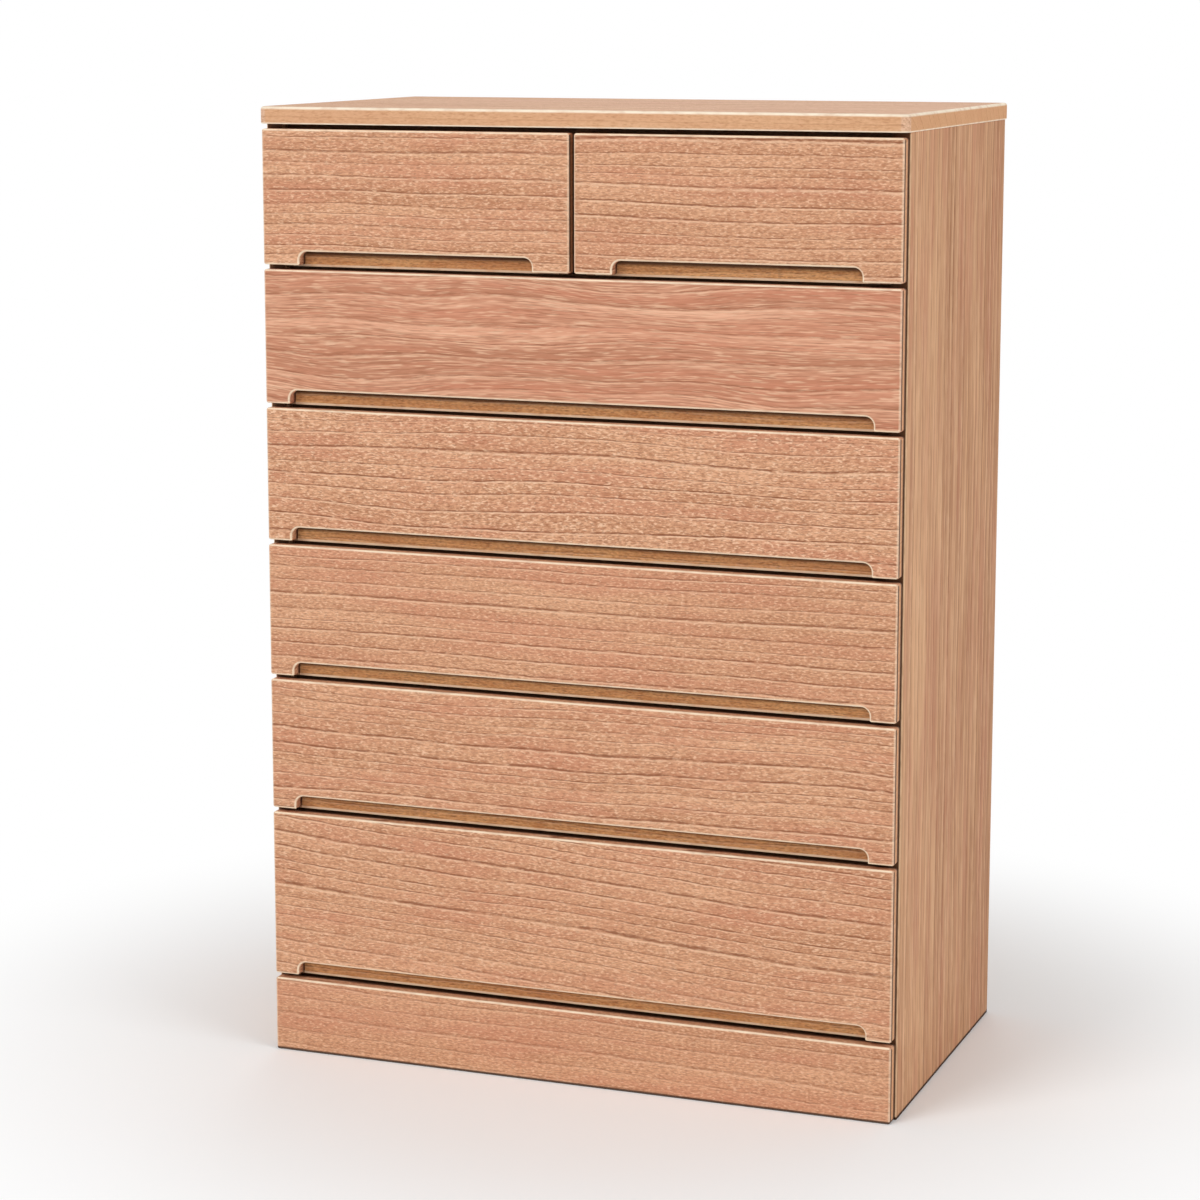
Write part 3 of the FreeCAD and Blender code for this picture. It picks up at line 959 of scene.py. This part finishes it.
class Bench:
    """Turns worked-out surfaces and CAD nodes into finished pieces that ride on their bodies."""

    def __init__(self, bodies: dict[str, Sequence[str]], shop: Workshop) -> None:
        """Take the workshop, and remember which body each CAD node rides on."""
        self.shop = shop
        self.body_of = {node: body for body, nodes in bodies.items() for node in nodes}

    def finish(self, node: str, mesh: Mesh, material: bpy.types.Material, slot: str) -> None:
        """Put a mesh in place of a CAD node.

        Args:
            node: the CAD node that the piece stands for.
            mesh: the piece's mesh, at its place.
            material: the piece's material.
            slot: the record's material slot that the piece takes its finish from; not used.
        """
        piece = stand(f"{node}_dressed", mesh)
        mesh.materials.clear()
        mesh.materials.append(material)
        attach(piece, self.body_of[node])
        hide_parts(node)
        LOG.info("%s: %d faces on body %s", piece.name, len(mesh.polygons), self.body_of[node])

    def dress(self, node: str, mesh: Mesh, finish: KiriFinish, cut: Cut) -> None:
        """Put a board's mesh in place of its CAD node, in its own cut of wood."""
        self.finish(node, mesh, self.shop.kiri(f"{node}_wood", finish, cut), finish.name)

    @staticmethod
    def mark(mesh: Mesh, domain: str, marks: Array) -> None:
        """Write each point's or face's mark as an eased edge into a mesh."""
        attribute = mesh.attributes.new(ARRIS, "FLOAT", domain)
        attribute.data.foreach_set("value", marks.astype(np.float32))

    def closed_mesh(self, name: str, points: Array, faces: Sequence[Sequence[int]],
                    marks: Array) -> Mesh:
        """Make a closed mesh with its doubles merged, its faces outwards and its edges marked.

        Args:
            name: the mesh's name.
            points: one row for each point.
            faces: the points of each face.
            marks: each point's mark as an eased edge.

        Returns:
            The mesh.
        """
        mesh = bpy.data.meshes.new(name)
        mesh.from_pydata(points, [], faces)
        self.mark(mesh, "POINT", marks)
        work = bmesh.new()
        work.from_mesh(mesh)
        bmesh.ops.remove_doubles(work, verts=work.verts, dist=MERGE_DISTANCE)
        bmesh.ops.dissolve_degenerate(work, edges=work.edges, dist=MERGE_DISTANCE)
        bmesh.ops.recalc_face_normals(work, faces=work.faces)
        work.to_mesh(mesh)
        work.free()
        mesh.shade_smooth()
        mesh.set_sharp_from_angle(angle=SMOOTH_BELOW)
        return mesh

    def board(self, node: str, sections: Sequence[Section], plane: Plane, steps: int = 6) -> Mesh:
        """Make a board's mesh.

        Args:
            node: the CAD node that the board stands for.
            sections: the board's rings, from one face to the other.
            plane: the axes of its outline.
            steps: how many straight pieces make one corner's arc.

        Returns:
            The mesh.
        """
        points, walls, ends, marks = board_surface(sections, plane, steps)
        faces = [*walls.tolist(), *ends.tolist()]
        return self.closed_mesh(f"{node}_mesh", points, faces, marks)

    def eased_copy(self, node: str, width: float) -> Mesh:
        """Copy a CAD node's mesh and ease its sharp outer edges.

        The copy's loose triangles are merged into flat faces, and each outer edge gets a narrow
        round, unless it is shorter than SHORTEST_EASED widths. Faces that don't lie square to
        the chest are marked as edges.

        Args:
            node: the CAD node.
            width: how far an eased edge reaches onto each face.

        Returns:
            The new mesh.
        """
        work = bmesh.new()
        work.from_mesh(frame["nodes"][node].data)
        bmesh.ops.remove_doubles(work, verts=work.verts, dist=MERGE_DISTANCE)
        bmesh.ops.dissolve_limit(work, angle_limit=FLAT_BELOW, verts=work.verts, edges=work.edges)
        sharp = [
            edge
            for edge in work.edges
            if edge.is_manifold and edge.is_convex and edge.calc_face_angle() > SMOOTH_BELOW
            and edge.calc_length() > SHORTEST_EASED * width
        ]
        bmesh.ops.bevel(
            work, geom=sharp, offset=width, offset_type="OFFSET", segments=2, profile=0.5,
            affect="EDGES", clamp_overlap=True,
        )
        mesh = bpy.data.meshes.new(f"{node}_mesh")
        work.to_mesh(mesh)
        work.free()
        normals = np.empty(len(mesh.polygons) * 3)
        mesh.polygons.foreach_get("normal", normals)
        slanting = np.abs(normals.reshape(-1, 3)).max(axis=1) < SQUARE_FROM
        self.mark(mesh, "FACE", slanting)
        mesh.polygons.foreach_set("use_smooth", slanting)
        mesh.update()
        return mesh


@dataclass(frozen=True)
class FrontShape:
    """The shape of a drawer front with its finger pull."""

    arris: float = 2 * MM
    back_ease: float = 0.5 * MM
    corner: float = 2.5 * MM
    pull_height: float = 14.5 * MM
    pull_corner: float = 9 * MM
    mouth: float = 1.6 * MM
    groove_top: float = 26.5 * MM
    groove_depth: float = 8 * MM
    groove_corner: float = 0.6 * MM

    def corners(self, box: Box, inset: float, height: float, radius: float) -> list[Corner]:
        """List the corners of a front whose lower edge is cut out.

        Args:
            box: the front's box.
            inset: how far the cut-out stays from either end.
            height: how high it is.
            radius: the rounding of its upper corners.

        Returns:
            The corners, anticlockwise from the low left one.
        """
        first, *others = rectangle(box, Plane.FRONT, self.corner, self.corner)
        low, start, end = box.low.z, box.low.x + inset, box.high.x - inset
        return [
            first,
            Corner(start, low, self.mouth),
            Corner(start, low + height, radius),
            Corner(end, low + height, radius),
            Corner(end, low, self.mouth),
            *others,
        ]

    def wrap(self, box: Box, back: Sequence[Corner], front: Sequence[Corner],
             between: Sequence[Section] = ()) -> list[Section]:
        """List the rings of a board, from its eased back face to its round front face.

        Args:
            box: the board's box.
            back: the corners of its back face.
            front: the corners of its front face.
            between: the rings between the two faces, if they differ.

        Returns:
            The rings.
        """
        behind = eased_end(back, box.high.y, -1, self.back_ease, steps=2)
        return [*reversed(behind), *between, *eased_end(front, box.low.y, +1, self.arris)]

    def sections(self, box: Box, inset: float) -> list[Section]:
        """List the rings of a front, from its back face to its front face.

        Behind the lip the cut-out is higher, so that fingers can reach behind the lip.

        Args:
            box: the front's box.
            inset: how far the cut-out stays from either end.

        Returns:
            The rings.
        """
        pull = self.corners(box, inset, self.pull_height, self.pull_corner)
        groove = self.corners(box, inset, self.groove_top, self.groove_corner)
        ledge = box.high.y - self.groove_depth
        between = [Section(groove, 0.0, ledge), Section(pull, 0.0, ledge)]
        return self.wrap(box, groove, pull, between)


@dataclass
class Drawer:
    """One drawer: its front with the pull, and its box of five boards."""

    bench: Bench
    name: str
    number: int
    pull_inset: float
    front_cut: dict[str, object]
    finish: KiriFinish = FRONT_KIRI
    shape: FrontShape = FrontShape()
    box_ease: float = 0.4 * MM
    box_front_ease: float = 0.3 * MM

    def build(self) -> None:
        """Make and dress the drawer's six pieces."""
        self.build_front()
        self.build_box()

    def build_front(self) -> None:
        """Make the front with its round edges and its finger pull."""
        node = f"{self.name}_front"
        box = Box.of(node)
        mesh = self.bench.board(node, self.shape.sections(box, self.pull_inset), Plane.FRONT)
        cut = Cut(
            Lie.ACROSS_FRONT,
            box.centre,
            seed=3.1 + 1.7 * self.number,
            half_length=box.size.x / 2,
            half_depth=box.size.y / 2,
            **self.front_cut,
        )
        self.bench.dress(node, mesh, self.finish, cut)

    def build_box(self) -> None:
        """Ease the edges of the box's boards and dress each in its own cut of wood."""
        for tag, lie, finish, ease in (
            ("box_front", Lie.ACROSS_FRONT, BOX_FRONT_KIRI, self.box_front_ease),
            ("side_left", Lie.FRONT_TO_BACK, BOX_KIRI, self.box_ease),
            ("side_right", Lie.FRONT_TO_BACK, BOX_KIRI, self.box_ease),
            ("box_back", Lie.ACROSS_FRONT, BOX_KIRI, self.box_ease),
            ("bottom", Lie.FLAT, BOTTOM_KIRI, self.box_ease),
        ):
            node = f"{self.name}_{tag}"
            box = Box.of(node)
            cut = Cut(
                lie,
                box.centre,
                seed=11.3 + 2.3 * self.number + 0.61 * len(tag) + box.centre.x,
                half_length=max(box.size.x, box.size.y) / 2,
            )
            # The box front's height places the painted highlight on its lower edge and the painted
            # shade under the pull's lip.
            if tag == "box_front":
                cut = replace(cut, half_width=box.size.z / 2)
            self.bench.dress(node, self.bench.eased_copy(node, ease), finish, cut)


@dataclass
class Carcass:
    """The chest's body: sides, top, bottom, back, plinth, rails, runners and screws."""

    bench: Bench
    ease: float = 0.6 * MM
    top_corner: float = 10 * MM
    top_upper: float = 3 * MM
    top_lower: float = 1.5 * MM
    back_corner: float = 1 * MM
    edge_shift: float = 1 * MM
    plinth: FrontShape = FrontShape()

    def build(self) -> None:
        """Make and dress every piece of the carcass."""
        self.build_top()
        self.build_plinth()
        self.build_panels()
        self.build_frame()
        Screws(self.bench).build()

    def build_top(self) -> None:
        """Make the top board: round front corners, a soft upper edge and a crisper lower one."""
        box = Box.of("top_board")
        corners = rectangle(box, Plane.FLAT, self.top_corner, self.back_corner)
        lower = eased_end(corners, box.low.z, +1, self.top_lower, steps=4)
        upper = eased_end(corners, box.high.z, -1, self.top_upper, steps=6)
        mesh = self.bench.board("top_board", [*reversed(lower), *upper], Plane.FLAT, steps=12)
        cut = Cut(Lie.FLAT, box.centre, seed=5.9, pith=(-0.35, -0.3), spacing=15 * MM,
                  half_length=box.size.x / 2, half_width=box.size.y / 2)
        self.bench.dress("top_board", mesh, TOP_KIRI, cut)

    def build_plinth(self) -> None:
        """Make the front board of the plinth, rounded like the drawer fronts."""
        box = Box.of("plinth_front")
        corners = rectangle(box, Plane.FRONT, self.plinth.corner, self.plinth.corner)
        sections = self.plinth.wrap(box, corners, corners)
        mesh = self.bench.board("plinth_front", sections, Plane.FRONT)
        cut = Cut(Lie.ACROSS_FRONT, box.centre, seed=21.7, pith=(0.5, 0.2), lean=(-0.02, 0.0),
                  spacing=15 * MM, half_length=box.size.x / 2, half_depth=box.size.y / 2)
        # A painted contact shadow along its foot.
        finish = replace(FRONT_KIRI, lines=0.5, flecks=0.5, foot_shade=0.9)
        self.bench.dress("plinth_front", mesh, finish, cut)

    def build_panels(self) -> None:
        """Ease and dress the side panels and the back panel, glued up from staves.

        Each cut's middle lies a little behind the panel's own, so that only the front edge of a
        side panel counts as its flank, which is painted dark as shade behind the drawer fronts.
        """
        for node, lie, finish, seed in (
            ("side_panel_left", Lie.UPRIGHT_SIDE, SIDE_KIRI, 31.3),
            ("side_panel_right", Lie.UPRIGHT_SIDE, SIDE_KIRI, 37.9),
            ("back_panel", Lie.UPRIGHT_BACK, BACK_KIRI, 43.1),
        ):
            box = Box.of(node)
            middle = box.centre + Vector((0, self.edge_shift, 0))
            cut = Cut(lie, middle, seed=seed, pith=(0.6, 0.5), spacing=13 * MM, swing=4 * MM,
                      ripple=0.3 * MM, line_width=2.0 * MM, half_length=box.size.z / 2,
                      half_width=box.size.y / 2 + self.edge_shift, fade=0.9)
            self.bench.dress(node, self.bench.eased_copy(node, self.ease), finish, cut)

    def build_frame(self) -> None:
        """Ease and dress the boards inside: bottom, rear plinth, rails, runners and partition."""
        boards = [
            ("bottom_board", Lie.FLAT, CARCASS_KIRI),
            ("plinth_rear", Lie.ACROSS_FRONT, CARCASS_KIRI),
            ("centre_partition", Lie.FRONT_TO_BACK, PARTITION_KIRI),
            ("runners_left", Lie.FRONT_TO_BACK, RUNNER_KIRI),
            ("runners_right", Lie.FRONT_TO_BACK, RUNNER_KIRI),
            ("centre_runners", Lie.FRONT_TO_BACK, RUNNER_KIRI),
        ]
        rails = sorted(node for node in frame["nodes"] if node.startswith("rail_"))
        boards.extend((node, Lie.ACROSS_FRONT, CARCASS_KIRI) for node in rails)
        for number, (node, lie, finish) in enumerate(boards):
            box = Box.of(node)
            cut = Cut(lie, box.centre, seed=51.7 + 3.3 * number, swing=3 * MM)
            self.bench.dress(node, self.bench.eased_copy(node, self.ease), finish, cut)


@dataclass
class Screws:
    """The countersunk screws that hold the back panel."""

    bench: Bench
    per_side: int = 8
    head_radius: float = 3.5 * MM
    head_height: float = 2.2 * MM
    shank_radius: float = 1.75 * MM
    thread_depth: float = 0.35 * MM
    pitch: float = 1.6 * MM
    recess_depth: float = 1.3 * MM
    recess_reach: float = 2.1 * MM
    recess_width: float = 0.45 * MM
    recess_edge: float = 1.4
    point_length: float = 3 * MM
    rings: tuple[int, ...] = (12, 4, 56, 6)
    around: int = 32

    def surface(self, length: float) -> tuple[Array, Array]:
        """Work out one screw, pointing along -Y with its head's face at the origin.

        A profile of radius and depth runs from the middle of the head over its rim, down the
        cone and along the shank to the point. On the head, the depth grows towards the middle of
        a cross-shaped recess. On the shank, the radius follows a ridge that winds round once
        each pitch: ridge = 1 - |2 fract(depth / pitch - angle / turn) - 1|. rings counts the
        profile's points on the face, the cone, the shank and the tip.

        Args:
            length: from the head's face to the point.

        Returns:
            The points and the four-sided faces.
        """
        on_face, on_cone, on_shank, on_tip = self.rings
        shoulder = length - self.point_length
        face = np.linspace(0, self.head_radius, on_face)
        cone = np.linspace(self.head_radius, self.shank_radius, on_cone)[1:]
        shank = np.linspace(self.head_height, shoulder, on_shank)[1:]
        tip = np.linspace(shoulder, length, on_tip)[1:]
        radius = np.concatenate([face, cone, np.full(len(shank), self.shank_radius),
                                 self.shank_radius * (length - tip) / self.point_length])
        cone_depth = (self.head_radius - cone) / (self.head_radius - self.shank_radius)
        depth = np.concatenate([np.zeros(len(face)), cone_depth * self.head_height, shank, tip])
        angle = np.arange(self.around) * 2 * math.pi / self.around
        radius, depth = radius[:, None] + 0 * angle, depth[:, None] + 0 * angle
        on_head = np.arange(len(radius))[:, None] < len(face)
        on_shank = np.arange(len(radius))[:, None] >= len(face) + len(cone)
        across = radius * np.minimum(np.abs(np.sin(angle)), np.abs(np.cos(angle)))
        arm = np.clip(self.recess_edge - across / self.recess_width, 0, 1)
        arm = arm * (radius < self.recess_reach)
        depth = depth + on_head * arm * self.recess_depth * (1 - radius / self.head_radius)
        ridge = 1 - np.abs(2 * ((depth / self.pitch - angle / (2 * math.pi)) % 1) - 1)
        fade = np.clip((length - depth) / self.point_length, 0, 1)
        radius = radius - on_shank * (1 - ridge) * self.thread_depth * fade
        points = np.stack([radius * np.cos(angle), -depth, radius * np.sin(angle)], axis=-1)
        number = np.arange(radius.size).reshape(radius.shape)
        return points.reshape(-1, 3), strips(number).reshape(-1, 4)

    def build(self) -> None:
        """Set the screws in two upright rows along the back."""
        node = "back_panel_screws"
        box = Box.of(node)
        points, faces = self.surface(box.size.y)
        last = box.high.z - 2 * self.head_radius
        heights = np.linspace(box.low.z, last, self.per_side) + self.head_radius
        sides = (box.low.x + self.head_radius, box.high.x - self.head_radius)
        places = np.array([(side, box.high.y, height) for side in sides for height in heights])
        all_points = (places[:, None] + points[None]).reshape(-1, 3)
        starts = np.arange(len(places))[:, None, None] * len(points)
        all_faces = (starts + faces[None]).reshape(-1, 4).tolist()
        unmarked = np.zeros(len(all_points))
        mesh = self.bench.closed_mesh(f"{node}_mesh", all_points, all_faces, unmarked)
        self.bench.finish(node, mesh, self.bench.shop.steel(SCREW_STEEL), SCREW_STEEL.name)


@dataclass
class Studio:
    """The pale floor, the soft lamps, the white background and the camera."""

    floor_reach: float = 30.0
    floor_lines: int = 9
    floor_colour: Triple = (250, 250, 250)
    fade_start: float = 0.35
    fade_end: float = 0.95
    ambient: float = 0.5
    camera_place: Triple = (1.174, -3.228, 1.123)
    camera_yaw: float = math.radians(20.68)
    camera_pitch: float = math.radians(9.44)
    camera_shift: float = -0.05
    focal_share: float = 3212 / 1200
    sensor: float = 36.0
    far_end: float = 100.0
    aim: Triple = (0.0, 0.0, 0.5)

    def build(self) -> None:
        """Set up the whole studio."""
        bpy.context.scene.view_settings.view_transform = "Standard"
        self.build_floor()
        self.build_world()
        self.build_lamps()
        self.build_camera()

    def seen(self, wiring: Wiring) -> Socket:
        """Tell what is looked at from what gives light.

        Args:
            wiring: the wiring of the floor's paint or of the world.

        Returns:
            1 for rays from the camera, and for those seen in gloss or through glass, 0 otherwise.
        """
        path = wiring.node("ShaderNodeLightPath").outputs
        seen = wiring.math("MAXIMUM", path["Is Camera Ray"], path["Is Glossy Ray"])
        return wiring.math("MAXIMUM", seen, path["Is Transmission Ray"])

    def build_floor(self) -> None:
        """Lay the floor, which fades to white far from the chest.

        The floor is a square grid: x and y run from -reach to +reach, z is 0.
        """
        side = np.linspace(-self.floor_reach, self.floor_reach, self.floor_lines)
        x, y = np.meshgrid(side, side)
        points = np.stack([x, y, np.zeros_like(x)], axis=-1).reshape(-1, 3)
        number = np.arange(len(points)).reshape(x.shape)
        mesh = bpy.data.meshes.new("studio_floor")
        mesh.from_pydata(points, [], strips(number)[:, :-1].reshape(-1, 4).tolist())
        stand("studio_floor", mesh)
        paint, wiring, shader = Workshop.blank("studio_floor_paint")
        colour = linear(self.floor_colour)
        wiring.fill(shader, {"Base Color": colour, "Roughness": 0.9, "Specular IOR Level": 0.0})
        distance = wiring.vector("LENGTH", wiring.here())
        away = wiring.span(distance, self.fade_start, self.fade_end)
        white = wiring.node("ShaderNodeEmission", WHITE)
        wiring.show(wiring.times(away, self.seen(wiring)), shader, white, "Material Output")
        mesh.materials.append(paint)

    def build_world(self) -> None:
        """Surround the chest with even light, and show white where it is looked at."""
        world = bpy.data.worlds.new("studio_world")
        bpy.context.scene.world = world
        world.use_nodes = True
        wiring = Wiring(world.node_tree)
        background = world.node_tree.nodes["Background"]
        wiring.fill(background, {"Color": WHITE, "Strength": self.ambient})
        white = wiring.node("ShaderNodeBackground", WHITE)
        wiring.show(self.seen(wiring), background, white, "World Output")

    def build_lamps(self) -> None:
        """Hang three soft lamps: the main one to the front left, one to the right, one behind."""
        for name, place, size, power in (
            ("main_lamp", (-2.9, -5.4, 5.2), 3.6, 210.0),
            ("right_lamp", (5.1, -1.8, 3.2), 3.3, 98.0),
            ("rear_lamp", (-0.9, 5.4, 3.6), 3.6, 60.0),
        ):
            lamp = bpy.data.lights.new(name, "AREA")
            lamp.size = size
            lamp.energy = power
            holder = stand(name, lamp)
            holder.location = place
            way = Vector(self.aim) - Vector(place)
            holder.rotation_euler = way.to_track_quat("-Z", "Y").to_euler()

    def build_camera(self) -> None:
        """Set the camera to the photograph's viewing angle."""
        lens = bpy.data.cameras.new("studio_camera")
        lens.sensor_width = self.sensor
        lens.lens = self.focal_share * self.sensor
        lens.shift_y = self.camera_shift
        lens.clip_end = self.far_end
        camera = stand("studio_camera", lens)
        camera.location = self.camera_place
        camera.rotation_euler = (QUARTER_TURN - self.camera_pitch, 0.0, self.camera_yaw)
        bpy.context.scene.camera = camera


def drawer_list(bench: Bench) -> list[Drawer]:
    """List the seven drawers with the cut of each front, from the top row down.

    Args:
        bench: where the pieces are made.

    Returns:
        The drawers.
    """
    half, full = 41 * MM, 27.5 * MM
    even = replace(FRONT_KIRI, lines=0.78)
    speckled = replace(FRONT_KIRI, lines=1.0, speckle=2.6, flecks=0.8, pores=0.7)
    flowing = replace(FRONT_KIRI, pale=(236, 180, 148), warm=(192, 132, 102), lines=0.5,
                      ring_tone=1.1, streaks=2.0, speckle=1.5, flecks=0.5, patches=1.2, redness=0.8,
                      fibre_stretch=(4.5, 1.0, 1.0), patch_stretch=(2.0, 0.5, 0.5))
    rows = (
        ("drawer_1_left", half, even, dict(pith=(0.7, 0.1), spacing=12 * MM)),
        ("drawer_1_right", half, FRONT_KIRI, dict(pith=(0.72, 0.1), spacing=13 * MM)),
        ("drawer_2", full, flowing,
         dict(pith=(0.45, -0.25), spacing=16 * MM, swing=20 * MM, tone=0.12)),
        ("drawer_3", full, speckled, dict(pith=(0.63, 0.1), spacing=15 * MM, swing=8 * MM)),
        ("drawer_4", full, FRONT_KIRI, dict(pith=(0.7, 0.1), spacing=13 * MM, swing=4 * MM)),
        ("drawer_5", full, FRONT_KIRI, dict(pith=(0.5, 0.1), spacing=12 * MM, swing=9 * MM)),
        ("drawer_6", full, FRONT_KIRI,
         dict(pith=(0.6, 0.1), lean=(-0.055, 0.0), spacing=13 * MM, swing=6 * MM)),
    )
    return [
        Drawer(bench, name, number, inset, cut, finish)
        for number, (name, inset, finish, cut) in enumerate(rows, 1)
    ]


def main() -> None:
    """Build the chest's pieces in order, then the studio."""
    logging.basicConfig(level=logging.INFO, format="%(message)s")
    bench = Bench(frame["record"]["behaviour"]["bodies"], Workshop())
    Carcass(bench).build()
    for drawer in drawer_list(bench):
        drawer.build()
    Studio().build()


if __name__ == "__main__":
    main()
